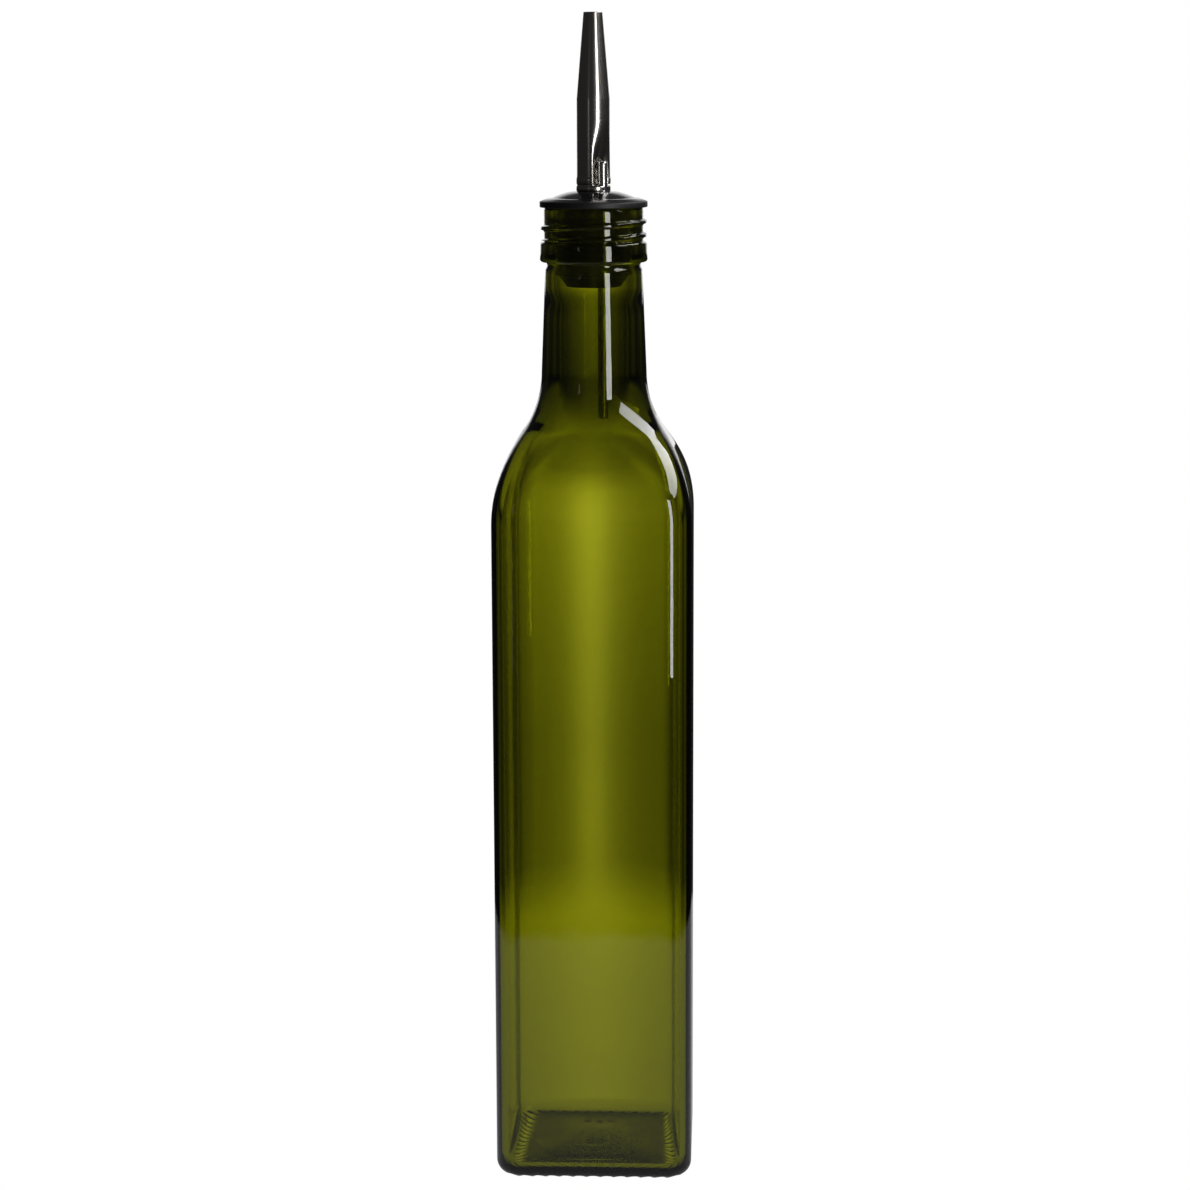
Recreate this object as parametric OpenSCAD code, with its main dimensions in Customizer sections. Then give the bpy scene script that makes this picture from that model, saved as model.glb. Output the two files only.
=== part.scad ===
/* [Bottle] */
// Width of the square bottle across its flats
bottle_w = 56; // [47:0.5:60]
// Height of the glass, from the base to the mouth
bottle_h = 275.4; // [240:0.2:340]
// Rounding of the upright corners, outside
corner_r = 8; // [6:0.5:12]
// Thickness of the side walls
wall = 2.5; // [2:0.05:4]
// Height of the inside floor at its edges
base_t = 2.4; // [2.2:0.1:6]
// Rise of the inside floor from its edges to its middle
floor_rise = 3.2; // [0.5:0.1:4]
// Rounding between the sides and the base
heel_r = 4; // [2:0.5:5]
// Radius of the hollow under the base
hollow_r = 20; // [12:0.5:21]
// Depth of the hollow under the base
hollow_h = 2.6; // [0.5:0.1:3]

/* [Shoulder and neck] */
// Height at which the straight sides end
side_h = 188; // [150:1:200]
// Height at which the shoulder has become the round neck
shoulder_h = 229.4; // [215:0.2:235]
// Part of the shoulder's curve that bulges out before it flares into the neck
shoulder_share = 0.6; // [0.5:0.05:0.75]
// Part of the shoulder's height up which the corners keep their rounding
corner_hold = 0.2; // [0:0.05:0.4]
// Part of the shoulder's height in which the corners open out to a circle
corner_blend = 0.65; // [0.4:0.05:0.7]
// Radius of the neck where the shoulder ends
neck_low_r = 14.8; // [13:0.1:15.5]
// Radius of the neck just under the bead
neck_top_r = 13.55; // [12:0.05:14.5]
// Depth of the groove round the neck, just under the bead
neck_groove = 0.4; // [0:0.1:0.6]
// Radius of the round inside of the neck, where the stopper seals
bore_r = 10.9; // [9:0.05:11.1]
// How much narrower the neck is inside, below the stopper
throat_step = 1.1; // [0.2:0.1:1.5]

/* [Screw finish] */
// Radius of the bead under the thread
bead_r = 15.1; // [14.6:0.1:17]
// Height of the bead
bead_h = 5.7; // [3:0.1:7]
// Radius over the thread's crest
thread_r = 14.85; // [14.4:0.05:15.5]
// Radius of the finish between the threads
finish_r = 13.95; // [13:0.05:14.2]
// Height of the finish, from the bead to the mouth
finish_h = 9.5; // [8:0.5:12]
// Rise of the thread in one turn
thread_pitch = 3.75; // [3:0.05:4]
// Number of turns of the thread
thread_turns = 1.8; // [1:0.1:1.8]
// Direction in which the thread starts
thread_start = -200; // [-360:5:180]

/* [Stopper] */
// Radius of the flange that sits on the mouth
flange_r = 15.1; // [13:0.1:17]
// Thickness of the flange at its rim
flange_t = 1.7; // [1:0.1:3]
// Rise of the dome from the flange to the spout
dome_h = 2.7; // [1.5:0.1:5]
// Length of the stopper inside the neck
plug_h = 22.2; // [15:0.1:25]
// Gap between the stopper's core and the neck
core_gap = 0.8; // [0.5:0.1:2]
// Amount by which the core tapers in at its lower end
core_taper = 2.2; // [0.5:0.1:2.5]
// Number of sealing fins
fin_count = 5; // [2:1:6]
// Thickness of a fin at its root
fin_t = 1.5; // [1:0.1:2]
// Gap between a fin's edge and the neck
fin_gap = 0.05; // [0.03:0.01:0.1]

/* [Spout] */
// Outer radius of the spout's straight stem
stem_r = 4.64; // [4:0.02:5.6]
// Height of the straight stem over the dome
stem_h = 25.4; // [15:0.1:35]
// Height of the tapered part
cone_h = 23.7; // [12:0.1:35]
// Outer radius of the spout's tip
tip_r = 2.65; // [2:0.05:3.4]
// Thickness of the steel
steel_t = 0.4; // [0.3:0.05:0.5]
// Height of the foot's rings over the dome
foot_h = 4.6; // [3:0.1:6]
// Amount by which the foot's widest ring stands out
foot_out = 0.2; // [0.1:0.05:0.6]
// Direction in which the spout's side is pushed in
dent_turn = -42; // [-180:1:180]
// Height of the deepest part of the push over the dome
dent_low = 1.8; // [1.6:0.1:6]
// Length of the pushed in part
dent_h = 22; // [12:0.5:23]
// Gap between the vent tube and the sides of the hollow it stands in
dent_side_gap = 1.1; // [0.6:0.1:1.5]
// Gap between the vent tube and the back of the hollow
dent_back_gap = 0.36; // [0.2:0.02:0.6]

/* [Vent tube] */
// Outer radius of the vent tube
vent_r = 1.4; // [1.1:0.05:1.7]
// Thickness of the vent tube's wall
vent_t = 0.25; // [0.15:0.05:0.4]
// How far the vent tube stands out past the stem
vent_out = 0.26; // [0:0.02:0.3]
// Height of the vent tube's open top over the dome
vent_top = 8.2; // [3:0.1:12]
// Length of the vent tube below the stopper
vent_drop = 36.6; // [15:0.1:60]

/* [Hidden] */

$fn = 72;
eps = 0.01;

// Bottle
half_w = bottle_w / 2;
inner_w = half_w - wall;
inner_corner_r = corner_r - wall;
inner_heel_r = 4;
floor_r = inner_w - inner_heel_r;
floor_steps = 8;
bead_top = bottle_h - finish_h;
bead_low = bead_top - bead_h;
edge_r = 0.6;
corner_steps = 8;
heel_steps = 4;
shoulder_steps = 16;
smallest_flat = 0.1;
throat_r = bore_r - throat_step;
throat_h = 8;
groove_h = 0.7;
hollow_sphere_r = (hollow_r * hollow_r + hollow_h * hollow_h) / (2 * hollow_h);

// Thread
thread_root_t = 2.2;
thread_crest_t = 0.7;
thread_sink = 0.5;
thread_first = bead_top - 0.25;
thread_fade = 25;
thread_step = 10;

// Stopper, measured up from the mouth
dome_top = bottle_h + flange_t + dome_h;
plug_low = bottle_h - plug_h;
core_r = bore_r - core_gap;
core_low_r = core_r - core_taper;
dome_low_r = flange_r - 2.6;
dome_top_r = stem_r + 0.9;
lip_h = 0.9;
fin_r = bore_r - fin_gap;
fin_gap_h = plug_h / (fin_count + 1);

// Spout and vent tube
stem_top = dome_top + stem_h;
tip_top = stem_top + cone_h;
spout_low = plug_low + 2;
foot_r = stem_r + foot_out;
vent_high = dome_top + vent_top;
vent_low = plug_low - vent_drop;
dent_floor = dome_top + dent_low;
vent_off = stem_r + vent_out - vent_r;
dent_r = vent_r + dent_side_gap;
dent_off = vent_off - vent_r - dent_back_gap + dent_r;

// Shoulder and flare: two arcs that meet, upright at both ends
function turn_at(from_w, to_w) = 2 * atan((from_w - to_w) / (shoulder_h - side_h));
function arc_sum(from_w, to_w) = (shoulder_h - side_h) / sin(turn_at(from_w, to_w));
function bulge_point(from_w, to_w, a) =
    let (r = arc_sum(from_w, to_w) * shoulder_share)
    [from_w - r * (1 - cos(a)), side_h + r * sin(a)];
function flare_point(from_w, to_w, a) =
    let (r = arc_sum(from_w, to_w) * (1 - shoulder_share))
    [to_w + r * (1 - cos(a)), shoulder_h - r * sin(a)];
function shoulder_curve(from_w, to_w) =
    let (turn = turn_at(from_w, to_w), half = shoulder_steps / 2)
    concat(
        [for (i = [0 : half]) bulge_point(from_w, to_w, turn * i / half)],
        [for (i = [half - 1 : -1 : 0]) flare_point(from_w, to_w, turn * i / half)]
    );

// Rounding between the sides and a flat floor, from the floor up
function heel_curve(w, r, floor_z) =
    [for (i = [0 : heel_steps]) let (a = 90 * i / heel_steps) [w - r + r * sin(a), floor_z + r - r * cos(a)]];

// Corner radius at one level: it shrinks round the heel and grows to a full circle up the shoulder
function smooth(t) = t * t * (3 - 2 * t);
function corner_at(w, z, full_w, r) =
    let (climb = (z - side_h) / (shoulder_h - side_h))
    let (t = min(1, max(0, (climb - corner_hold) / corner_blend)))
    min(w - smallest_flat, r - (climb > 0 ? 0 : full_w - w) + smooth(t) * (w - r));

// One level of the bottle: a square with round corners
function level(w, z, r) =
    [for (q = [0 : 3]) for (i = [0 : corner_steps])
        let (a = 90 * q + 90 * i / corner_steps, m = 45 + 90 * q)
        [(w - r) * sqrt(2) * cos(m) + r * cos(a), (w - r) * sqrt(2) * sin(m) + r * sin(a), z]];
function levels(curve, full_w, r) =
    [for (p = curve) level(p[0], p[1], corner_at(p[0], p[1], full_w, r))];

// Closes a stack of rings with the same number of points into a solid
module skin(rings) {
    n = len(rings[0]);
    last = len(rings) - 1;
    sides = [for (k = [0 : last - 1]) for (i = [0 : n - 1])
        let (j = (i + 1) % n) each [
            [k * n + i, (k + 1) * n + i, k * n + j],
            [k * n + j, (k + 1) * n + i, (k + 1) * n + j]]];
    floor_cap = [[for (i = [0 : n - 1]) i]];
    top_cap = [[for (i = [n - 1 : -1 : 0]) last * n + i]];
    polyhedron([for (ring = rings) each ring], concat(sides, floor_cap, top_cap));
}

// Glass from the base to the foot of the neck, one skin that runs up outside and back down inside
module glass_body() {
    outside = concat(
        levels(heel_curve(half_w, heel_r, 0), half_w, corner_r),
        levels(shoulder_curve(half_w, neck_low_r), half_w, corner_r)
    );
    inside = concat(
        levels(heel_curve(inner_w, inner_heel_r, base_t), inner_w, inner_corner_r),
        levels(shoulder_curve(inner_w, throat_r), inner_w, inner_corner_r)
    );
    difference() {
        union() {
            skin(concat(outside, [for (k = [len(inside) - 1 : -1 : 0]) inside[k]]));
            floor_dome();
        }
        translate([0, 0, hollow_h - hollow_sphere_r]) sphere(r = hollow_sphere_r, $fn = 180);
    }
}

// The inside floor rises to the middle, over the hollow under the base
module floor_dome() {
    rotate_extrude() polygon(concat(
        [[0, base_t / 2], [floor_r, base_t / 2], [floor_r, base_t]],
        [for (i = [1 : floor_steps]) let (t = i / floor_steps)
            [floor_r * (1 - t), base_t + floor_rise * sin(90 * t) * sin(90 * t)]]
    ));
}

// Neck, bead and finish, turned round the bottle's axis
module glass_neck() {
    rotate_extrude() polygon([
        [throat_r, shoulder_h],
        [neck_low_r, shoulder_h],
        [neck_top_r, bead_low - 3 * groove_h],
        [neck_top_r - neck_groove, bead_low - 1.5 * groove_h],
        [neck_top_r - neck_groove, bead_low - groove_h / 2],
        [neck_top_r, bead_low],
        [bead_r - edge_r, bead_low],
        [bead_r, bead_low + edge_r],
        [bead_r, bead_top - edge_r],
        [bead_r - edge_r, bead_top],
        [finish_r, bead_top],
        [finish_r, bottle_h - edge_r],
        [finish_r - edge_r, bottle_h],
        [bore_r, bottle_h],
        [bore_r, plug_low],
        [throat_r, plug_low - throat_h]
    ]);
}

// Thread: a ridge swept round the finish, which fades out at both ends
function thread_ring(a, size) =
    let (z = thread_first + thread_pitch * (a - thread_start) / 360)
    let (root_r = finish_r - thread_sink, crest_r = finish_r + (thread_r - finish_r) * size)
    [for (p = [
        [root_r, -thread_root_t / 2], [crest_r, -thread_crest_t / 2],
        [crest_r, thread_crest_t / 2], [root_r, thread_root_t / 2]])
        [p[0] * cos(a), p[0] * sin(a), z + p[1] * (0.4 + 0.6 * size)]];
module thread() {
    length = 360 * thread_turns;
    skin([for (d = [0 : thread_step : length])
        let (size = min(1, d / thread_fade, (length - d) / thread_fade))
        thread_ring(thread_start + d, max(-0.2, size * 1.2 - 0.2))]);
}

module bottle() {
    color([0.45, 0.48, 0.05, 0.5]) {
        glass_body();
        glass_neck();
        thread();
    }
}

// Stopper: flange and dome outside, core and sealing fins inside the neck
module stopper() {
    color([0.1, 0.1, 0.1]) difference() {
        union() {
            rotate_extrude() polygon([
                [0, plug_low],
                [core_low_r, plug_low],
                [core_r, plug_low + fin_gap_h],
                [core_r, bottle_h],
                [flange_r, bottle_h],
                [flange_r, bottle_h + flange_t],
                [dome_low_r, bottle_h + flange_t + lip_h],
                for (i = [1 : 6]) let (a = 90 * i / 6) [
                    dome_top_r + (dome_low_r - dome_top_r) * (1 - sin(a)),
                    bottle_h + flange_t + lip_h + (dome_h - lip_h) * sin(a)],
                [0, dome_top]
            ]);
            for (i = [1 : fin_count]) fin(plug_low + fin_gap_h * i);
        }
        translate([0, 0, plug_low - eps]) cylinder(r = stem_r, h = dome_top - plug_low + 1);
        vent_place(vent_r, plug_low - eps, dome_top + 1);
    }
}

// One sealing fin, thin at its edge and swept up
module fin(z) {
    rotate_extrude() polygon([
        [core_low_r - 1, z - fin_t],
        [core_low_r, z - fin_t],
        [fin_r, z - fin_t / 4],
        [fin_r, z + fin_t / 4],
        [core_low_r, z + fin_t / 2],
        [core_low_r - 1, z + fin_t / 2]
    ]);
}

// Spout: a steel tube with rings at its foot, a straight stem and a tapered end
module spout_outline(inset) {
    rotate_extrude() polygon([
        [0, spout_low],
        [stem_r - inset, spout_low],
        [stem_r - inset, dome_top],
        [foot_r - inset, dome_top + foot_h * 0.12],
        [foot_r - inset, dome_top + foot_h * 0.3],
        [stem_r - inset, dome_top + foot_h * 0.42],
        [foot_r - inset - foot_out / 3, dome_top + foot_h * 0.58],
        [foot_r - inset - foot_out / 3, dome_top + foot_h * 0.8],
        [stem_r - inset, dome_top + foot_h],
        [stem_r - inset, stem_top],
        [tip_r - inset, tip_top],
        [0, tip_top]
    ]);
}

// Hollow pushed into the side of the stem: upright at the bottom, fading out at the top
module dent(grow) {
    rotate([0, 0, dent_turn]) translate([dent_off, 0, dent_floor - grow]) {
        cylinder(r = dent_r + grow, h = dent_h / 3 + grow);
        translate([0, 0, dent_h / 3 + grow]) cylinder(r1 = dent_r + grow, r2 = dent_r / 4, h = dent_h * 2 / 3);
    }
}

module spout() {
    color([0.75, 0.75, 0.76]) difference() {
        union() {
            difference() {
                spout_outline(0);
                spout_bore();
            }
            intersection() {
                spout_outline(0);
                dent(steel_t);
            }
        }
        dent(0);
        vent_place(vent_r, spout_low - 1, dent_floor + 1);
    }
}

// Way through the spout, from its lower end to the tip
module spout_bore() {
    translate([0, 0, spout_low - eps]) cylinder(r = stem_r - steel_t, h = stem_top - spout_low + eps);
    translate([0, 0, stem_top]) cylinder(r1 = stem_r - steel_t, r2 = tip_r - steel_t, h = cone_h + eps);
}

// Round bar where the vent tube lies
module vent_place(r, low, high) {
    rotate([0, 0, dent_turn]) translate([vent_off, 0, low]) cylinder(r = r, h = high - low);
}

// Vent tube: a thin tube that lets air into the bottle as the oil runs out
module vent_tube() {
    color([0.7, 0.7, 0.71]) difference() {
        vent_place(vent_r, vent_low, vent_high);
        vent_place(vent_r - vent_t, vent_low - 1, vent_high + 1);
    }
}

bottle();
stopper();
spout();
vent_tube();
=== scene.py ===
# %% [markdown]
# # A glass oil bottle with a steel pourer
# Four pieces: a square bottle of olive green glass, a black rubber stopper, a polished steel spout and a
# thin steel vent tube. The CAD model sets every size and place, so the first step loads it as a fixed
# frame, and each piece made here stands for one CAD node.

# %% Load the frame
import math
import bpy
from mathutils import Euler, Matrix, Vector


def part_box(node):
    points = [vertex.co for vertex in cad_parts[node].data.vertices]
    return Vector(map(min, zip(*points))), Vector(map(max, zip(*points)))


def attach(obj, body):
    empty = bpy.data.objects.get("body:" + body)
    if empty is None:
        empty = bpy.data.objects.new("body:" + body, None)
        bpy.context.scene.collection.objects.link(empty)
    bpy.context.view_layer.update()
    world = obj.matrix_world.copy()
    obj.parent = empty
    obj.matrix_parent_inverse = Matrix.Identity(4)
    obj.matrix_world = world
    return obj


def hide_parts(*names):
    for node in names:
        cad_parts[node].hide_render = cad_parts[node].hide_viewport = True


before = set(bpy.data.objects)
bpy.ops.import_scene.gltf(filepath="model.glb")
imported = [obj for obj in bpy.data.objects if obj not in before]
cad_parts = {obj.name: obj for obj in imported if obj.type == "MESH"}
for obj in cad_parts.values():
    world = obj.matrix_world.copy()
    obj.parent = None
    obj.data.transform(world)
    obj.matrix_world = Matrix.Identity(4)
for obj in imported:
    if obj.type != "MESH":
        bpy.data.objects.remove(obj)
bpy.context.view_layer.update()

# %% [markdown]
# ## Sizes
# Everything is in metres, so MM turns millimetres into metres. The big sizes are read from the CAD
# nodes' boxes, and the small ones repeat the design's own values.

# %% Sizes from the frame
MM = 0.001
low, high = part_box("bottle")
HALF_W = high[0]
BOTTLE_H = high[2]
STOPPER_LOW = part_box("stopper")[0][2]
DOME_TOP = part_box("stopper")[1][2]
SPOUT_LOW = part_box("spout")[0][2]
TIP_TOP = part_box("spout")[1][2]
FLANGE_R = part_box("stopper")[1][0]
VENT_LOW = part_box("vent_tube")[0][2]
VENT_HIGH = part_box("vent_tube")[1][2]
print("bottle is %.1f mm wide and %.1f mm tall" % (2 * HALF_W / MM, BOTTLE_H / MM))

WALL = 3.0 * MM
CORNER_R = 8 * MM
HEEL_R = 4 * MM
BASE_T = 2.4 * MM
FLOOR_RISE = 3.2 * MM
INNER_HEEL_R = 4 * MM
HOLLOW_R = 20 * MM
HOLLOW_H = 2.6 * MM
SIDE_H = 188 * MM
SHOULDER_H = 229.4 * MM
SHOULDER_SHARE = 0.6
CORNER_HOLD = 0.2
CORNER_BLEND = 0.65
NECK_LOW_R = 14.8 * MM
NECK_TOP_R = 13.55 * MM
BORE_R = 10.9 * MM
THROAT_R = 9.8 * MM
THROAT_TOP = STOPPER_LOW - 8 * MM
BEAD_R = 15.1 * MM
BEAD_TOP = BOTTLE_H - 9.5 * MM
BEAD_LOW = BEAD_TOP - 5.7 * MM
THREAD_R = 14.85 * MM
FINISH_R = 13.95 * MM
THREAD_PITCH = 3.75 * MM
THREAD_TURNS = 1.8
THREAD_START = -200
THREAD_FIRST = BEAD_TOP - 0.25 * MM
STEM_R = 4.64 * MM
STEM_TOP = DOME_TOP + 25.4 * MM
TIP_R = 2.65 * MM
STEEL_T = 0.4 * MM
DENT_TURN = math.radians(-42)
VENT_R = 1.4 * MM
VENT_T = 0.25 * MM
VENT_OFF = STEM_R + 0.26 * MM - VENT_R

# %% [markdown]
# ## Making meshes from rings
# A bottle, a stopper and a tube are all stacks of rings. Each ring is a list of points round the axis,
# and neighbouring rings are joined by quads, which shade smoothly and bend light cleanly. A round ring
# needs one radius; a ring of the square body needs a half width and a corner radius.

# %% Ring helpers
def round_ring(r, z, count):
    """Points of a circle, anticlockwise from +X."""
    steps = [2 * math.pi * i / count for i in range(count)]
    return [Vector((r * math.cos(a), r * math.sin(a), z)) for a in steps]


def square_ring(w, r, z, count, bulge=0.0):
    """Points of a square with round corners, spaced evenly along it; bulge swells the flats a little."""
    ring = []
    half_flat = w - r
    half_side = half_flat + r * math.pi / 4
    for i in range(count):
        side, part = divmod(i * 8 / count + 1, 2)
        along = (part - 1) * half_side
        past = max(0.0, abs(along) - half_flat) / max(r, 1e-9)
        x = half_flat + r * math.cos(past)
        y = math.copysign(min(abs(along), half_flat) + r * math.sin(past), along)
        x += bulge * math.cos(0.5 * math.pi * min(1.0, abs(y) / w)) ** 2
        turn = side * math.pi / 2
        turned_x = x * math.cos(turn) - y * math.sin(turn)
        turned_y = x * math.sin(turn) + y * math.cos(turn)
        ring.append(Vector((turned_x, turned_y, z)))
    return ring


def mesh_of_rings(name, rings, joined_ends=False):
    """A solid skin over a stack of rings. With joined_ends the last ring meets the first, as on a tube."""
    count = len(rings[0])
    points = [p for ring in rings for p in ring]
    faces = []
    pairs = len(rings) if joined_ends else len(rings) - 1
    for k in range(pairs):
        a, b = k * count, (k + 1) % len(rings) * count
        for i in range(count):
            j = (i + 1) % count
            faces.append((a + i, a + j, b + j, b + i))
    if not joined_ends:
        faces.append(tuple(range(count - 1, -1, -1)))
        faces.append(tuple((len(rings) - 1) * count + i for i in range(count)))
    mesh = bpy.data.meshes.new(name)
    mesh.from_pydata(points, [], faces)
    mesh.polygons.foreach_set("use_smooth", [True] * len(mesh.polygons))
    mesh.update()
    piece = bpy.data.objects.new(name, mesh)
    bpy.context.scene.collection.objects.link(piece)
    print(name, len(mesh.polygons), "faces")
    return piece


def along(start, stop, steps):
    """Evenly spaced values from start to stop, both included."""
    return [start + (stop - start) * i / steps for i in range(steps + 1)]


def arc(centre_r, centre_z, radius, from_deg, to_deg, steps):
    """Profile points (r, z) on an arc."""
    turns = [math.radians(a) for a in along(from_deg, to_deg, steps)]
    return [(centre_r + radius * math.cos(a), centre_z + radius * math.sin(a)) for a in turns]


def smooth(t):
    t = min(1.0, max(0.0, t))
    return t * t * (3 - 2 * t)


# %% [markdown]
# ## The bottle's shape
# Blown into a square mould, the glass has round upright corners, a rounded heel and a shoulder that
# turns from square to round. The shoulder's outline is two arcs that meet: one bulges out of the upright
# side, and one flares into the neck. On the way up, the corner radius grows until the ring is a circle.
# One skin runs up the outside, over the mouth and down the inside, so the glass is a true wall with air
# inside it.

# %% Outline of the shoulder
def shoulder_outline(from_w, to_w, steps):
    """(half width, height) from the upright side to the foot of the neck."""
    rise = SHOULDER_H - SIDE_H
    turn = 2 * math.atan((from_w - to_w) / rise)
    both = rise / math.sin(turn)
    bulge_r, flare_r = both * SHOULDER_SHARE, both * (1 - SHOULDER_SHARE)
    bulge = [(from_w - bulge_r * (1 - math.cos(a)), SIDE_H + bulge_r * math.sin(a))
             for a in along(0, turn, steps)]
    flare = [(to_w + flare_r * (1 - math.cos(a)), SHOULDER_H - flare_r * math.sin(a))
             for a in along(turn, 0, steps)]
    return bulge + flare[1:]


def body_ring(w, z, full_w, corner_r, bulge=0.0):
    """One ring of the square body or shoulder."""
    climb = (z - SIDE_H) / (SHOULDER_H - SIDE_H)
    if climb <= 0:
        r = max(corner_r - (full_w - w), 0.3 * MM)
    else:
        r = corner_r + smooth((climb - CORNER_HOLD) / CORNER_BLEND) * (w - corner_r)
    return square_ring(w, min(w, r), z, RING_POINTS, bulge * (1 - smooth(climb)))


# %% Rings of the bottle, from the middle of the base up and over the mouth
RING_POINTS = 300
FINISH_EDGE = 0.7 * MM
BEAD_EDGE = 0.9 * MM
MOUTH_EDGE = 0.9 * MM
FACE_THIN = 1.0 * MM


def thinning(z):
    """How much thinner the middle of a face is than its edges. Near the base the glass stays thick."""
    return FACE_THIN * (0.55 + 0.45 * smooth((z - 50 * MM) / (60 * MM)))


KNURL_COUNT = 50
KNURL_H = 1.0 * MM
# Half width and corner radius, in millimetres, from the hollow out to the heel
BEARING_RINGS = ((20.6, 17.5), (21.6, 12), (22.6, 7), (23.4, 4.5))


def knurled(ring, weight=1.0):
    """Lifts a ring between the small feet that are moulded into the bearing edge."""
    for i, p in enumerate(ring):
        foot = 0.5 + 0.5 * math.cos(2 * math.pi * KNURL_COUNT * i / len(ring))
        p.z += KNURL_H * weight * (1 - foot)
    return ring


def base_rings():
    """Hollow under the base, knurled bearing edge and rounded heel."""
    rings = []
    flat_w = HALF_W - HEEL_R
    ball_r = (HOLLOW_R ** 2 + HOLLOW_H ** 2) / (2 * HOLLOW_H)
    for share in (0.01, 0.2, 0.4, 0.6, 0.75, 0.85, 0.93, 0.98):
        r = HOLLOW_R * share
        z = HOLLOW_H - (ball_r - math.sqrt(ball_r ** 2 - r ** 2))
        rings.append(round_ring(r, z, RING_POINTS))
    for w, r in BEARING_RINGS:
        rings.append(knurled(square_ring(w * MM, r * MM, 0.0, RING_POINTS)))
    for a in along(0, 90, 14):
        lift = HEEL_R * (1 - math.cos(math.radians(a)))
        w = flat_w + HEEL_R * math.sin(math.radians(a))
        rings.append(knurled(body_ring(w, lift, HALF_W, CORNER_R), max(0.0, 1 - lift / (1.0 * MM))))
    return rings


def thread_height(x, y, z):
    """How far the screw thread stands out of the finish at a point."""
    turn = math.degrees(math.atan2(y, x))
    best = 0.0
    for lap in (-1, 0, 1, 2):
        gone = turn + 360 * lap - THREAD_START
        length = 360 * THREAD_TURNS
        if gone < 0 or gone > length:
            continue
        fade = smooth(min(gone, length - gone) / 28)
        off = abs(z - (THREAD_FIRST + THREAD_PITCH * gone / 360))
        ridge = 1 - smooth((off - 0.3 * MM) / (0.6 * MM))
        best = max(best, (THREAD_R - FINISH_R) * ridge * fade)
    return best


def neck_rings():
    """Neck, bead, screw finish and mouth, turned round the axis."""
    rings = []
    for z in along(SHOULDER_H, BEAD_LOW - 2.1 * MM, 14)[1:]:
        t = (z - SHOULDER_H) / (BEAD_LOW - SHOULDER_H)
        rings.append(round_ring(NECK_LOW_R + (NECK_TOP_R - NECK_LOW_R) * t, z, RING_POINTS))
    groove_r = NECK_TOP_R - 0.4 * MM
    outline = [(NECK_TOP_R - 0.12 * MM, BEAD_LOW - 1.6 * MM), (groove_r, BEAD_LOW - 1.0 * MM)]
    outline += arc(groove_r + 0.5 * MM, BEAD_LOW - 0.5 * MM, 0.5 * MM, 180, 100, 4)
    outline += arc(BEAD_R - BEAD_EDGE, BEAD_LOW + BEAD_EDGE, BEAD_EDGE, -90, 0, 6)
    outline += arc(BEAD_R - BEAD_EDGE - 0.12 * MM, BEAD_TOP - BEAD_EDGE, BEAD_EDGE, 0, 80, 6)
    outline += arc(FINISH_R + 0.5 * MM, BEAD_TOP + 0.35 * MM, 0.5 * MM, 250, 185, 4)
    for r, z in outline:
        rings.append(round_ring(r, z, RING_POINTS))
    for z in along(BEAD_TOP + 0.45 * MM, BOTTLE_H - MOUTH_EDGE, 56):
        ring = round_ring(FINISH_R, z, RING_POINTS)
        for p in ring:
            grow = 1 + thread_height(p.x, p.y, z) / FINISH_R
            p.x *= grow
            p.y *= grow
        rings.append(ring)
    lip = arc(FINISH_R - MOUTH_EDGE, BOTTLE_H - MOUTH_EDGE, MOUTH_EDGE, 12, 90, 6)
    lip += arc(BORE_R + 0.7 * MM, BOTTLE_H - 0.7 * MM, 0.7 * MM, 90, 180, 5)
    for r, z in lip:
        rings.append(round_ring(r, z, RING_POINTS))
    return rings


def inside_rings():
    """Bore, inside of the shoulder and body, and the floor, going down."""
    rings = []
    inner_w = HALF_W - WALL
    corner_r = CORNER_R - WALL
    for z in along(BOTTLE_H - 3 * MM, STOPPER_LOW, 6):
        rings.append(round_ring(BORE_R, z, RING_POINTS))
    for z in along(STOPPER_LOW, THROAT_TOP, 6)[1:]:
        t = smooth((STOPPER_LOW - z) / (STOPPER_LOW - THROAT_TOP))
        rings.append(round_ring(BORE_R + (THROAT_R - BORE_R) * t, z, RING_POINTS))
    for z in along(THROAT_TOP, SHOULDER_H, 8)[1:-1]:
        rings.append(round_ring(THROAT_R, z, RING_POINTS))
    for w, z in reversed(shoulder_outline(inner_w, THROAT_R, 16)):
        rings.append(body_ring(w, z, inner_w, corner_r, thinning(z)))
    for z in along(SIDE_H, BASE_T + INNER_HEEL_R, 50)[1:]:
        rings.append(body_ring(inner_w, z, inner_w, corner_r, thinning(z)))
    for a in along(90, 0, 12)[1:]:
        w = inner_w - INNER_HEEL_R * (1 - math.sin(math.radians(a)))
        z = BASE_T + INNER_HEEL_R * (1 - math.cos(math.radians(a)))
        rings.append(body_ring(w, z, inner_w, corner_r))
    flat_w = inner_w - INNER_HEEL_R
    for share in (0.92, 0.8, 0.65, 0.5, 0.35, 0.2, 0.1, 0.01):
        rise = FLOOR_RISE * math.sin(0.5 * math.pi * (1 - share)) ** 2
        w = flat_w * share
        rings.append(square_ring(w, w * (1.1 - share), BASE_T + rise, RING_POINTS))
    return rings


rings = base_rings()
for z in along(HEEL_R, SIDE_H, 24)[1:]:
    rings.append(body_ring(HALF_W, z, HALF_W, CORNER_R))
for w, z in shoulder_outline(HALF_W, NECK_LOW_R, 20)[1:]:
    rings.append(body_ring(w, z, HALF_W, CORNER_R))
rings += neck_rings() + inside_rings()
glass_bottle = mesh_of_rings("glass_bottle", rings)

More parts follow.
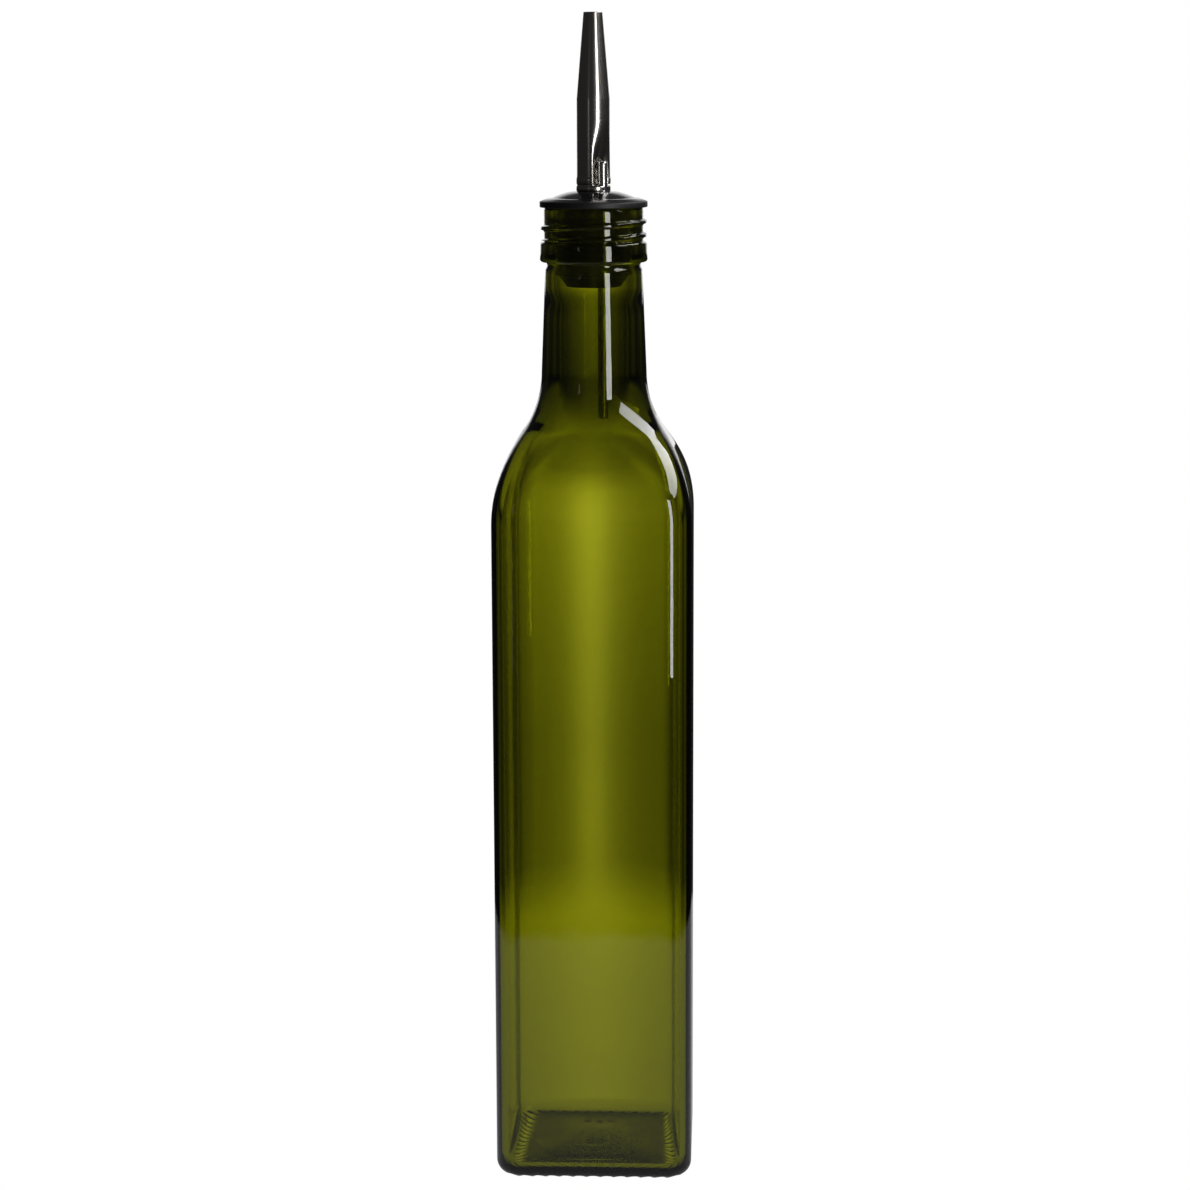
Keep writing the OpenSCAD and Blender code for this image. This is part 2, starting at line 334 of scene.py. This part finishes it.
# %% [markdown]
# ## The stopper's shape
# A moulded stopper is a lathe shape: a flange with a shallow dome sits on the mouth, and a core with
# thin sealing fins goes down the neck. A closed outline turned round the axis gives it. The passage for
# the spout has a groove at one side, where the vent tube lies.

# %% Stopper
STOPPER_POINTS = 160
CORE_R = BORE_R - 0.8 * MM
CORE_LOW_R = CORE_R - 2.2 * MM
FIN_R = BORE_R - 0.05 * MM
FIN_COUNT = 5
PLUG_H = BOTTLE_H - STOPPER_LOW
FIN_STEP = PLUG_H / (FIN_COUNT + 1)
RIM_T = 1.7 * MM


def passage_radius(turn):
    """Radius of the stopper's passage in one direction, with the vent tube's groove."""
    off = (turn - DENT_TURN + math.pi) % (2 * math.pi) - math.pi
    reach = VENT_R ** 2 - (VENT_OFF * math.sin(off)) ** 2
    if reach <= 0 or abs(off) > math.pi / 2:
        return STEM_R
    return max(STEM_R, VENT_OFF * math.cos(off) + math.sqrt(reach))


def fin_outline(z):
    """One fin, seen in section: thick at the core, thin and swept up at the edge."""
    return [
        (core_radius(z - 1.2 * MM), z - 1.2 * MM),
        (FIN_R - 0.9 * MM, z - 0.62 * MM),
        (FIN_R - 0.12 * MM, z - 0.3 * MM),
        (FIN_R, z - 0.12 * MM),
        (FIN_R, z + 0.2 * MM),
        (FIN_R - 0.14 * MM, z + 0.3 * MM),
        (FIN_R - 0.8 * MM, z + 0.22 * MM),
        (core_radius(z + 0.5 * MM) + 0.25 * MM, z + 0.28 * MM),
        (core_radius(z + 0.6 * MM), z + 0.6 * MM),
    ]


def core_radius(z):
    """Radius of the core, which tapers in at its lower end."""
    t = (z - STOPPER_LOW) / FIN_STEP
    return CORE_LOW_R + (CORE_R - CORE_LOW_R) * min(1.0, max(0.0, t))


def stopper_outline():
    points = [(CORE_LOW_R - 0.5 * MM, STOPPER_LOW), (CORE_LOW_R - 0.12 * MM, STOPPER_LOW + 0.1 * MM)]
    points += [(CORE_LOW_R, STOPPER_LOW + 0.45 * MM)]
    for i in range(1, FIN_COUNT + 1):
        points += fin_outline(STOPPER_LOW + FIN_STEP * i)
    points += [(CORE_R, BOTTLE_H - 0.4 * MM), (CORE_R + 0.15 * MM, BOTTLE_H), (FLANGE_R - 1 * MM, BOTTLE_H)]
    points += arc(FLANGE_R - 0.3 * MM, BOTTLE_H + 0.3 * MM, 0.3 * MM, -90, 0, 4)
    points += arc(FLANGE_R - 0.35 * MM, BOTTLE_H + RIM_T - 0.35 * MM, 0.35 * MM, 0, 62, 4)
    lip_r, lip_z = FLANGE_R - 2.3 * MM, BOTTLE_H + RIM_T + 0.8 * MM
    points += [(lip_r + 0.25 * MM, lip_z - 0.08 * MM), (lip_r, lip_z)]
    points += [(lip_r - 0.3 * MM, lip_z - 0.02 * MM), (lip_r - 0.6 * MM, lip_z - 0.05 * MM)]
    dome_r, top_r = lip_r - 0.9 * MM, STEM_R + 0.9 * MM
    for t in along(0.04, 1, 10):
        climb = 1 - (1 - t) ** 1.5
        points.append((dome_r + (top_r - dome_r) * t, lip_z + (DOME_TOP - lip_z) * climb))
    points += [(STEM_R + 0.5 * MM, DOME_TOP - 0.03 * MM)]
    return points


def lathe(outline, count):
    return [round_ring(r, z, count) for r, z in outline]


def passage_ring(z, count):
    turns = [2 * math.pi * i / count for i in range(count)]
    return [Vector((passage_radius(a) * math.cos(a), passage_radius(a) * math.sin(a), z)) for a in turns]


passage = [passage_ring(z, STOPPER_POINTS) for z in along(DOME_TOP - 0.1 * MM, STOPPER_LOW + 0.05 * MM, 6)]
stopper_piece = mesh_of_rings("rubber_stopper", lathe(stopper_outline(), STOPPER_POINTS) + passage, True)

# %% [markdown]
# ## The spout's shape
# The spout is drawn steel tube: rings are rolled into its foot, the upper half is swaged to a taper, and
# the side is pressed in so that the vent tube's open end can stand there. The outline is turned round the
# axis, and the pressed hollow is a smooth push on both faces of the wall, so the steel keeps its
# thickness.

# %% Spout
SPOUT_POINTS = 192
DENT_LOW = DOME_TOP + 1.8 * MM
DENT_FULL = DOME_TOP + 6 * MM
DENT_HIGH = DOME_TOP + 19.5 * MM
DENT_DEEPEST = 2.5 * MM


def spout_radius(z):
    """Outer radius of the spout with no hollow in its side."""
    if z >= STEM_TOP:
        t = (z - STEM_TOP) / (TIP_TOP - STEM_TOP)
        return STEM_R + (TIP_R - STEM_R) * t
    up = (z - DOME_TOP) / MM
    ring = 0.0
    for middle, half, out in ((0.8, 0.75, 0.2), (2.95, 1.0, 0.18)):
        off = abs(up - middle) / half
        if off < 1:
            ring = max(ring, out * math.sqrt(1 - off * off))
    return STEM_R + ring * MM


def dent_push(turn, z):
    """How far the wall is pressed in at one direction and height."""
    if z < DENT_LOW - 0.3 * MM or z > DENT_HIGH:
        return 0.0
    off = abs((turn - DENT_TURN + math.pi) % (2 * math.pi) - math.pi)
    ledge = smooth((z - DENT_LOW + 0.3 * MM) / (0.5 * MM))
    rise = min(1.0, max(0.0, (z - DENT_FULL) / (DENT_HIGH - DENT_FULL)))
    fade = 1 - (1 - rise) ** 1.5
    flat = 0.6 * (1 - fade)
    width = math.radians(50 + 8 * fade)
    across = 1 - smooth((off / width - flat) / (1 - flat))
    return DENT_DEEPEST * ledge * (1 - fade) * across


def spout_ring(z, inset):
    ring = []
    for i in range(SPOUT_POINTS):
        a = 2 * math.pi * i / SPOUT_POINTS
        r = spout_radius(z) - inset - dent_push(a, z)
        ring.append(Vector((r * math.cos(a), r * math.sin(a), z)))
    return ring


levels = along(SPOUT_LOW, DOME_TOP - 0.2 * MM, 4) + along(DOME_TOP, DOME_TOP + 6 * MM, 60)
levels += along(DOME_TOP + 6.5 * MM, STEM_TOP - 0.4 * MM, 36)
levels += along(STEM_TOP - 0.2 * MM, STEM_TOP + 0.4 * MM, 3)
levels += along(STEM_TOP + 1 * MM, TIP_TOP - 0.3 * MM, 12) + [TIP_TOP - 0.2 * MM, TIP_TOP - 0.13 * MM]
outer = [spout_ring(z, 0.0) for z in levels]
rim_outline = [(TIP_R - 0.04 * MM, TIP_TOP - 0.04 * MM), (TIP_R - 0.15 * MM, TIP_TOP),
               (TIP_R - STEEL_T + 0.08 * MM, TIP_TOP - 0.02 * MM)]
rim = [round_ring(r, z, SPOUT_POINTS) for r, z in rim_outline]
inner = [spout_ring(z, STEEL_T) for z in reversed(levels)]
spout_piece = mesh_of_rings("steel_spout", outer + rim + inner, True)

# %% [markdown]
# ## The vent tube's shape
# A thin drawn tube, cut square and deburred at both ends. It is open right through, so its end shows as
# a dark hole in the hollow of the spout.

# %% Vent tube
VENT_POINTS = 64
VENT_X = VENT_OFF * math.cos(DENT_TURN)
VENT_Y = VENT_OFF * math.sin(DENT_TURN)


def vent_outline():
    inner_r = VENT_R - VENT_T
    outside = [(VENT_R - 0.05 * MM, VENT_LOW), (VENT_R, VENT_LOW + 0.06 * MM)]
    outside += [(VENT_R, z) for z in along(VENT_LOW + 1 * MM, VENT_HIGH - 1 * MM, 12)]
    outside += [(VENT_R, VENT_HIGH - 0.06 * MM), (VENT_R - 0.05 * MM, VENT_HIGH)]
    inside = [(inner_r + 0.04 * MM, VENT_HIGH), (inner_r, VENT_HIGH - 0.05 * MM)]
    inside += [(inner_r, VENT_LOW + 0.05 * MM), (inner_r + 0.04 * MM, VENT_LOW)]
    return outside + inside


vent_place = Vector((VENT_X, VENT_Y, 0))
vent_rings = [[p + vent_place for p in ring] for ring in lathe(vent_outline(), VENT_POINTS)]
vent_piece = mesh_of_rings("steel_vent_tube", vent_rings, True)

# %% [markdown]
# ## Material helpers
# Colours are written as the sRGB hex values that a maker would read off a swatch, and one function turns
# them to the linear values that Blender works in. One function adds a node, sets it and wires it.

# %% Material helpers
def linear(hex_colour):
    """sRGB hex to linear red, green, blue and 1."""
    parts = [int(hex_colour[i:i + 2], 16) / 255 for i in (1, 3, 5)]
    return [c / 12.92 if c <= 0.04045 else ((c + 0.055) / 1.055) ** 2.4 for c in parts] + [1.0]


def add_node(tree, kind, inputs=None, **settings):
    """Adds one node. A socket given as an input is linked, and anything else is set as its value."""
    node = tree.nodes.new(kind)
    for name, value in settings.items():
        setattr(node, name, value)
    for name, value in (inputs or {}).items():
        if isinstance(value, bpy.types.NodeSocket):
            tree.links.new(value, node.inputs[name])
        else:
            node.inputs[name].default_value = value
    return node


def new_material(name):
    material = bpy.data.materials.new(name)
    material.use_nodes = True
    material.node_tree.nodes.clear()
    return material, material.node_tree


# %% [markdown]
# ## Olive green bottle glass
# Soda lime glass, coloured in the melt and fire polished by the flame, so it is clear and almost
# perfectly smooth. Its colour is in its depth: a thin wall looks bright yellow green, and where light
# runs along a wall it goes nearly black. A volume that absorbs blue most, and green least, gives both.

# %% Bottle glass
RIPPLE_SIZE = 14 * MM
RIPPLE_HEIGHT = 0.12 * MM
GLASS_DENSITY = 1200.0


def bottle_glass():
    material, tree = new_material("olive_soda_lime_glass")
    place = add_node(tree, "ShaderNodeTexCoord")
    ripple = add_node(tree, "ShaderNodeTexNoise", {"Vector": place.outputs["Object"],
                                                   "Scale": 1 / RIPPLE_SIZE, "Detail": 2.0, "Roughness": 0.4})
    bump = add_node(tree, "ShaderNodeBump", {"Height": ripple.outputs["Fac"], "Strength": 0.5,
                                             "Distance": RIPPLE_HEIGHT})
    shader = add_node(tree, "ShaderNodeBsdfPrincipled", {"Base Color": (1, 1, 1, 1), "Roughness": 0.0,
                                                         "IOR": 1.52, "Transmission Weight": 1.0,
                                                         "Normal": bump.outputs["Normal"]})
    depth = add_node(tree, "ShaderNodeVolumeAbsorption", {"Color": linear("#DDDE3A"),
                                                          "Density": GLASS_DENSITY})
    add_node(tree, "ShaderNodeOutputMaterial", {"Surface": shader.outputs[0], "Volume": depth.outputs[0]})
    return material


glass_bottle.data.materials.append(bottle_glass())

# %% [markdown]
# ## Black moulded rubber
# Carbon black rubber from a polished mould. The rim is handled and dull, and the dome keeps the mould's
# gloss, so roughness falls with height. A fine grain breaks up the highlight.

# %% Stopper rubber
RIM_TOP, DOME_FOOT = BOTTLE_H + 1.6 * MM, BOTTLE_H + 2.4 * MM
RIM_ROUGH, DOME_ROUGH = 0.5, 0.14
MOTTLE_SIZE = 3 * MM
GRAIN_SIZE = 0.25 * MM
GRAIN_HEIGHT = 0.03 * MM


def stopper_rubber():
    material, tree = new_material("black_moulded_rubber")
    place = add_node(tree, "ShaderNodeTexCoord")
    height = add_node(tree, "ShaderNodeSeparateXYZ", {"Vector": place.outputs["Object"]})
    gloss = add_node(tree, "ShaderNodeMapRange", {"Value": height.outputs["Z"],
                                                  "From Min": RIM_TOP, "From Max": DOME_FOOT,
                                                  "To Min": RIM_ROUGH, "To Max": DOME_ROUGH})
    mottle = add_node(tree, "ShaderNodeTexNoise", {"Vector": place.outputs["Object"],
                                                   "Scale": 1 / MOTTLE_SIZE, "Detail": 4.0})
    shade = add_node(tree, "ShaderNodeMix", {"Factor": mottle.outputs["Fac"]}, data_type="RGBA")
    shade.inputs[6].default_value = linear("#0E0E0F")
    shade.inputs[7].default_value = linear("#161617")
    grain = add_node(tree, "ShaderNodeTexNoise", {"Vector": place.outputs["Object"], "Scale": 1 / GRAIN_SIZE,
                                                  "Detail": 2.0})
    bump = add_node(tree, "ShaderNodeBump", {"Height": grain.outputs["Fac"], "Strength": 0.2,
                                             "Distance": GRAIN_HEIGHT})
    shader = add_node(tree, "ShaderNodeBsdfPrincipled", {"Base Color": shade.outputs[2],
                                                         "Roughness": gloss.outputs["Result"], "IOR": 1.52,
                                                         "Normal": bump.outputs["Normal"]})
    add_node(tree, "ShaderNodeOutputMaterial", {"Surface": shader.outputs[0]})
    return material


stopper_piece.data.materials.append(stopper_rubber())

# %% [markdown]
# ## Polished stainless steel
# The spout is buffed after it is drawn, which leaves a bright mirror with very fine lines round it. The
# vent tube stays as drawn, duller, with lines along it.

# %% Steel
def steel(name, colour, rough_low, rough_high, line_scale):
    material, tree = new_material(name)
    place = add_node(tree, "ShaderNodeTexCoord")
    stretch = add_node(tree, "ShaderNodeMapping", {"Vector": place.outputs["Object"], "Scale": line_scale})
    lines = add_node(tree, "ShaderNodeTexNoise", {"Vector": stretch.outputs[0], "Scale": 1.0, "Detail": 3.0,
                                                  "Roughness": 0.6})
    rough = add_node(tree, "ShaderNodeMapRange", {"Value": lines.outputs["Fac"],
                                                  "From Min": 0.3, "From Max": 0.7,
                                                  "To Min": rough_low, "To Max": rough_high})
    bump = add_node(tree, "ShaderNodeBump", {"Height": lines.outputs["Fac"], "Strength": 0.08,
                                             "Distance": 0.01 * MM})
    shader = add_node(tree, "ShaderNodeBsdfPrincipled", {"Base Color": linear(colour), "Metallic": 1.0,
                                                         "Roughness": rough.outputs["Result"],
                                                         "Normal": bump.outputs["Normal"]})
    add_node(tree, "ShaderNodeOutputMaterial", {"Surface": shader.outputs[0]})
    return material


across_lines = (1 / (4 * MM), 1 / (4 * MM), 1 / (0.12 * MM))
along_lines = (1 / (0.15 * MM), 1 / (0.15 * MM), 1 / (6 * MM))
spout_piece.data.materials.append(steel("polished_stainless_steel", "#C4C0BA", 0.18, 0.24, across_lines))
vent_piece.data.materials.append(steel("drawn_stainless_steel", "#B9B8B6", 0.18, 0.3, along_lines))

# %% [markdown]
# ## Tying the pieces to the frame
# Each piece stands for its CAD node and rides on that node's body: the bottle stays, and the whole
# pourer lifts out together.

# %% Frame ties
for piece, node, body, slot in (
    (glass_bottle, "bottle", "bottle", "green_glass"),
    (stopper_piece, "stopper", "pourer", "black_rubber"),
    (spout_piece, "spout", "pourer", "spout_steel"),
    (vent_piece, "vent_tube", "pourer", "vent_steel"),
):
    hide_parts(node)
    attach(piece, body)

# %% [markdown]
# ## Light that depends on how it is seen
# Clear glass shows what is behind it, and black rubber and steel show what they mirror. In a studio the
# two are set apart with white paper behind and black cards around. Here one floor and one backdrop do
# both jobs: a light path node tells a ray that came through glass from one that was mirrored, and each
# gets its own brightness.

# %% Stage helpers
FLOOR_REACH = 4.0
LIT_TURN = math.radians(-3.4)
PEAK = 1.4


def by_ray(tree, seen, through, mirrored):
    """One brightness for what the camera sees, one for what glass shows, and one for mirrored light."""
    kind = add_node(tree, "ShaderNodeLightPath")
    passed = kind.outputs["Is Transmission Ray"]
    glass = add_node(tree, "ShaderNodeMix", {"Factor": passed, "A": mirrored, "B": through})
    direct = kind.outputs["Is Camera Ray"]
    return add_node(tree, "ShaderNodeMix", {"Factor": direct, "A": glass.outputs[0], "B": seen}).outputs[0]


def ramp(tree, value, stops):
    """Brightness that follows a value through a few stops, as (position, brightness)."""
    node = add_node(tree, "ShaderNodeValToRGB", {"Fac": value})
    points = node.color_ramp.elements
    while len(points) < len(stops):
        points.new(1.0)
    for point, (place, level) in zip(points, stops):
        point.position = place
        point.color = (level, level, level, 1)
    return node.outputs["Color"]


def compute(tree, operation, *values):
    """One step of arithmetic on node values."""
    return add_node(tree, "ShaderNodeMath", dict(enumerate(values)), operation=operation).outputs[0]


def side_fall(tree, across, ahead, stops):
    """Brightness by direction. Stops run from 0, straight behind the piece, to 1, square to the side."""
    lean = compute(tree, "MULTIPLY_ADD", ahead, -math.tan(LIT_TURN), across)
    turn = compute(tree, "ARCTAN2", compute(tree, "ABSOLUTE", lean), compute(tree, "ABSOLUTE", ahead))
    return ramp(tree, compute(tree, "DIVIDE", turn, 0.5 * math.pi), stops)


# %% [markdown]
# ## Paper sweep
# The floor is plain white paper, drawn as a glowing surface with the lamps' light painted into it; seen
# directly it is evenly white. Through the glass it shows a painted pool of light, brightest a metre or so
# behind, where the lamps fall on it, and a painted fall of light to the sides. Right under the base a
# painted shade stands in for the bottle's own shadow. Mirrored, it is painted bright only near the piece.

# %% Floor
# Metres from the piece, and the painted brightness of lamp light there
PAINTED_POOL_STOPS = [(0, 0.85), (0.12, 0.92), (0.245, 1.05), (0.3, 0.83), (0.55, 0.78), (0.8, 0.95), (1.05, 1.15),
             (1.3, 1.33), (1.9, 1.3), (2.5, 0.95), (3.2, 0.65)]
# Share of a right angle away from straight behind, and the painted fall of lamp light there
FLOOR_PAINTED_SIDE_FALL = [(0, 1), (0.02, 0.9), (0.045, 0.66), (0.075, 0.52), (0.2, 0.24), (0.35, 0.1), (0.45, 0.35),
               (0.55, 0.35), (0.65, 0.1), (0.9, 0.3), (1, 0.9)]
SIDES_FROM, SIDES_FULL = 0.24, 0.32
# Painted shadow under the base: its inner and outer edge, how far back it sits, its squash and the light it
# leaves
SHADE_IN, SHADE_OUT = 0.0192, 0.0225
SHADE_BACK = 0.0035
SHADE_SQUASH = 0.82
SHADE_LEFT = 0.01
# Painted brightness of the floor in reflections: bright out to an edge near the piece, then dark
MIRROR_EDGE, MIRROR_FADE = 0.27, 0.01
MIRROR_NEAR, MIRROR_FAR = 0.32, 0.015


def painted_base_shadow(tree, across, ahead):
    """A soft square of painted shadow under the base, darkening the glowing floor where the bottle would
    shade it.
    """
    nearer = compute(tree, "MULTIPLY", compute(tree, "SUBTRACT", ahead, SHADE_BACK), SHADE_SQUASH)
    square = compute(tree, "MAXIMUM", compute(tree, "ABSOLUTE", across), compute(tree, "ABSOLUTE", nearer))
    shade = add_node(tree, "ShaderNodeMapRange", {"Value": square,
                                                  "From Min": SHADE_IN, "From Max": SHADE_OUT,
                                                  "To Min": SHADE_LEFT, "To Max": 1.0},
                     interpolation_type="SMOOTHSTEP")
    return shade.outputs["Result"]


def paper():
    material, tree = new_material("white_paper_sweep_painted_light")
    place = add_node(tree, "ShaderNodeTexCoord").outputs["Object"]
    away = add_node(tree, "ShaderNodeVectorMath", {"Vector": place}, operation="LENGTH").outputs["Value"]
    share = compute(tree, "DIVIDE", away, FLOOR_REACH)
    split = add_node(tree, "ShaderNodeSeparateXYZ", {"Vector": place})
    across, ahead = split.outputs["X"], split.outputs["Y"]
    # Painted pool of lamp light on the floor, as seen through the glass
    painted_pool = ramp(tree, share, [(far / FLOOR_REACH, level / PEAK) for far, level in PAINTED_POOL_STOPS])
    # Painted fall of the lamp light towards the sides of the floor
    sides = side_fall(tree, across, ahead, FLOOR_PAINTED_SIDE_FALL)
    past = add_node(tree, "ShaderNodeMapRange", {"Value": away,
                                                 "From Min": SIDES_FROM, "From Max": SIDES_FULL})
    sides = add_node(tree, "ShaderNodeMix", {"Factor": past.outputs[0], "A": 1.0, "B": sides}).outputs[0]
    painted_fall = compute(tree, "MULTIPLY", painted_pool, sides)
    # Painted shadow of the bottle on the floor, under the base
    with_painted_shadow = compute(tree, "MULTIPLY", painted_fall, painted_base_shadow(tree, across, ahead))
    through = compute(tree, "MULTIPLY", with_painted_shadow, PEAK)
    # Painted reflection brightness of the floor: bright close to the piece, nearly black beyond
    near = MIRROR_EDGE / FLOOR_REACH
    far = (MIRROR_EDGE + MIRROR_FADE) / FLOOR_REACH
    mirrored = ramp(tree, share, [(0, MIRROR_NEAR), (near, MIRROR_NEAR), (far, MIRROR_FAR)])
    glow = add_node(tree, "ShaderNodeEmission", {"Strength": by_ray(tree, 1.0, through, mirrored)})
    add_node(tree, "ShaderNodeOutputMaterial", {"Surface": glow.outputs[0]})
    return material


def studio_floor():
    mesh = bpy.data.meshes.new("studio_floor")
    side = FLOOR_REACH
    corners = [(-side, -side, 0), (side, -side, 0), (side, side, 0), (-side, side, 0)]
    mesh.from_pydata(corners, [], [(0, 1, 2, 3)])
    floor = bpy.data.objects.new("studio_floor", mesh)
    bpy.context.scene.collection.objects.link(floor)
    floor.location.z = -0.02 * MM
    floor.data.materials.append(paper())


studio_floor()

# %% [markdown]
# ## Surroundings
# Past the floor there is a white backdrop. Rubber and steel mirror only a low patch of it, straight
# behind, and dark room elsewhere; that keeps the rubber black and draws dark edges on the glass.

# %% Surroundings
BACKDROP_SIDES = [(0, 1), (0.02, 0.9), (0.045, 0.66), (0.075, 0.52), (0.2, 0.12), (0.4, 0.05),
                  (0.9, 0.05), (1, 0.5)]
BACKDROP_AT_FLOOR, BACKDROP_LIT = 0.6, 1.0
LIT_FROM_UP, LIT_FULL_UP = -0.01, 0.1
PATCH_INSIDE, PATCH_OUTSIDE = 0.3, 0.55
PATCH_LOW, PATCH_HIGH = 0.3, 0.5
ABOVE_PATCH = 0.06
PATCH_LEVEL = 1.2
ROOM = 0.025


def studio_world():
    world = bpy.data.worlds.new("studio_surroundings")
    world.use_nodes = True
    tree = world.node_tree
    tree.nodes.clear()
    place = add_node(tree, "ShaderNodeTexCoord").outputs["Generated"]
    split = add_node(tree, "ShaderNodeSeparateXYZ", {"Vector": place})
    across, ahead, up = split.outputs["X"], split.outputs["Y"], split.outputs["Z"]
    turn = compute(tree, "ABSOLUTE", compute(tree, "ARCTAN2", across, ahead))
    wall = add_node(tree, "ShaderNodeMapRange", {"Value": turn,
                                                 "From Min": PATCH_INSIDE, "From Max": PATCH_OUTSIDE,
                                                 "To Min": 1.0, "To Max": 0.0},
                    interpolation_type="SMOOTHSTEP")
    low = add_node(tree, "ShaderNodeMapRange", {"Value": up, "From Min": PATCH_LOW, "From Max": PATCH_HIGH,
                                                "To Min": 1.0, "To Max": ABOVE_PATCH},
                   interpolation_type="SMOOTHSTEP")
    patch = compute(tree, "MULTIPLY", wall.outputs["Result"], low.outputs["Result"])
    mirrored = compute(tree, "MULTIPLY_ADD", patch, PATCH_LEVEL, ROOM)
    climb = add_node(tree, "ShaderNodeMapRange", {"Value": up,
                                                  "From Min": LIT_FROM_UP, "From Max": LIT_FULL_UP})
    level = add_node(tree, "ShaderNodeMix", {"Factor": climb.outputs[0],
                                             "A": BACKDROP_AT_FLOOR, "B": BACKDROP_LIT})
    narrow = side_fall(tree, across, ahead, BACKDROP_SIDES)
    sides = add_node(tree, "ShaderNodeMix", {"Factor": climb.outputs[0], "A": narrow, "B": 1.0}).outputs[0]
    through = compute(tree, "MULTIPLY", sides, level.outputs[0])
    sky = add_node(tree, "ShaderNodeBackground", {"Strength": by_ray(tree, 1.0, through, mirrored)})
    sky.inputs["Color"].default_value = (1, 1, 1, 1)
    add_node(tree, "ShaderNodeOutputWorld", {"Surface": sky.outputs[0]})
    bpy.context.scene.world = world


studio_world()

# %% [markdown]
# ## Lamps
# A tall strip light to the right draws the long line down the neck and the corner. A soft box high at the
# right side draws the broad band on the shoulder. Two small white cards at the left give the spout and
# the lower body a faint line.

# %% Lamps
def soft_box(name, place, facing, width, tall, radiance, roll=0.0):
    """A soft box of even radiance, turned round the upright axis by facing and rolled in its own plane."""
    light = bpy.data.lights.new(name, "AREA")
    light.shape = "RECTANGLE"
    light.size = width
    light.size_y = tall
    light.energy = radiance * math.pi * width * tall
    box = bpy.data.objects.new(name, light)
    box.location = place
    turned = Euler((math.pi / 2, 0, facing)).to_matrix() @ Matrix.Rotation(roll, 3, "Z")
    box.rotation_euler = turned.to_euler()
    bpy.context.scene.collection.objects.link(box)


def round_the_piece(turn, away, height):
    """A place at a turn from straight in front, with its height."""
    return (away * math.sin(turn), -away * math.cos(turn), height)


LAMP_AWAY = 0.75
STRIP_TURN = math.radians(34.3)
CARD_TURN = math.radians(-30)
soft_box("strip_light", round_the_piece(STRIP_TURN, LAMP_AWAY, 0.24), STRIP_TURN, 0.15, 0.48, 9.0)
soft_box("side_light", (0.85, 0.2, 0.98), math.pi / 2, 1.5, 0.42, 7.0, math.radians(14))
soft_box("spout_card", round_the_piece(CARD_TURN, LAMP_AWAY, 0.33), CARD_TURN, 0.05, 0.12, 0.6)
soft_box("body_card", round_the_piece(CARD_TURN, LAMP_AWAY, 0.05), CARD_TURN, 0.04, 0.09, 0.35)

# %% [markdown]
# ## Camera
# A long lens a little under a metre away, looking slightly down. The bottle stands turned a little, so
# the camera is just to the right of its front face. The standard view keeps white paper white.

# %% Camera
CAMERA_AWAY = 0.831
CAMERA_UP = 0.3104
CAMERA_ROUND = math.radians(2.5)
CAMERA_PITCH = math.radians(9.9)
CAMERA_ROLL = math.radians(-0.21)


def studio_camera():
    data = bpy.data.cameras.new("camera")
    data.sensor_width = 36
    data.lens = 89.3
    data.clip_start = 0.01
    camera = bpy.data.objects.new("camera", data)
    camera.location = round_the_piece(CAMERA_ROUND, CAMERA_AWAY, CAMERA_UP)
    aim = Euler((math.pi / 2 - CAMERA_PITCH, 0, CAMERA_ROUND)).to_matrix()
    camera.rotation_euler = (aim @ Matrix.Rotation(CAMERA_ROLL, 3, "Z")).to_euler()
    bpy.context.scene.collection.objects.link(camera)
    bpy.context.scene.camera = camera


studio_camera()
bpy.context.scene.view_settings.view_transform = "Standard"
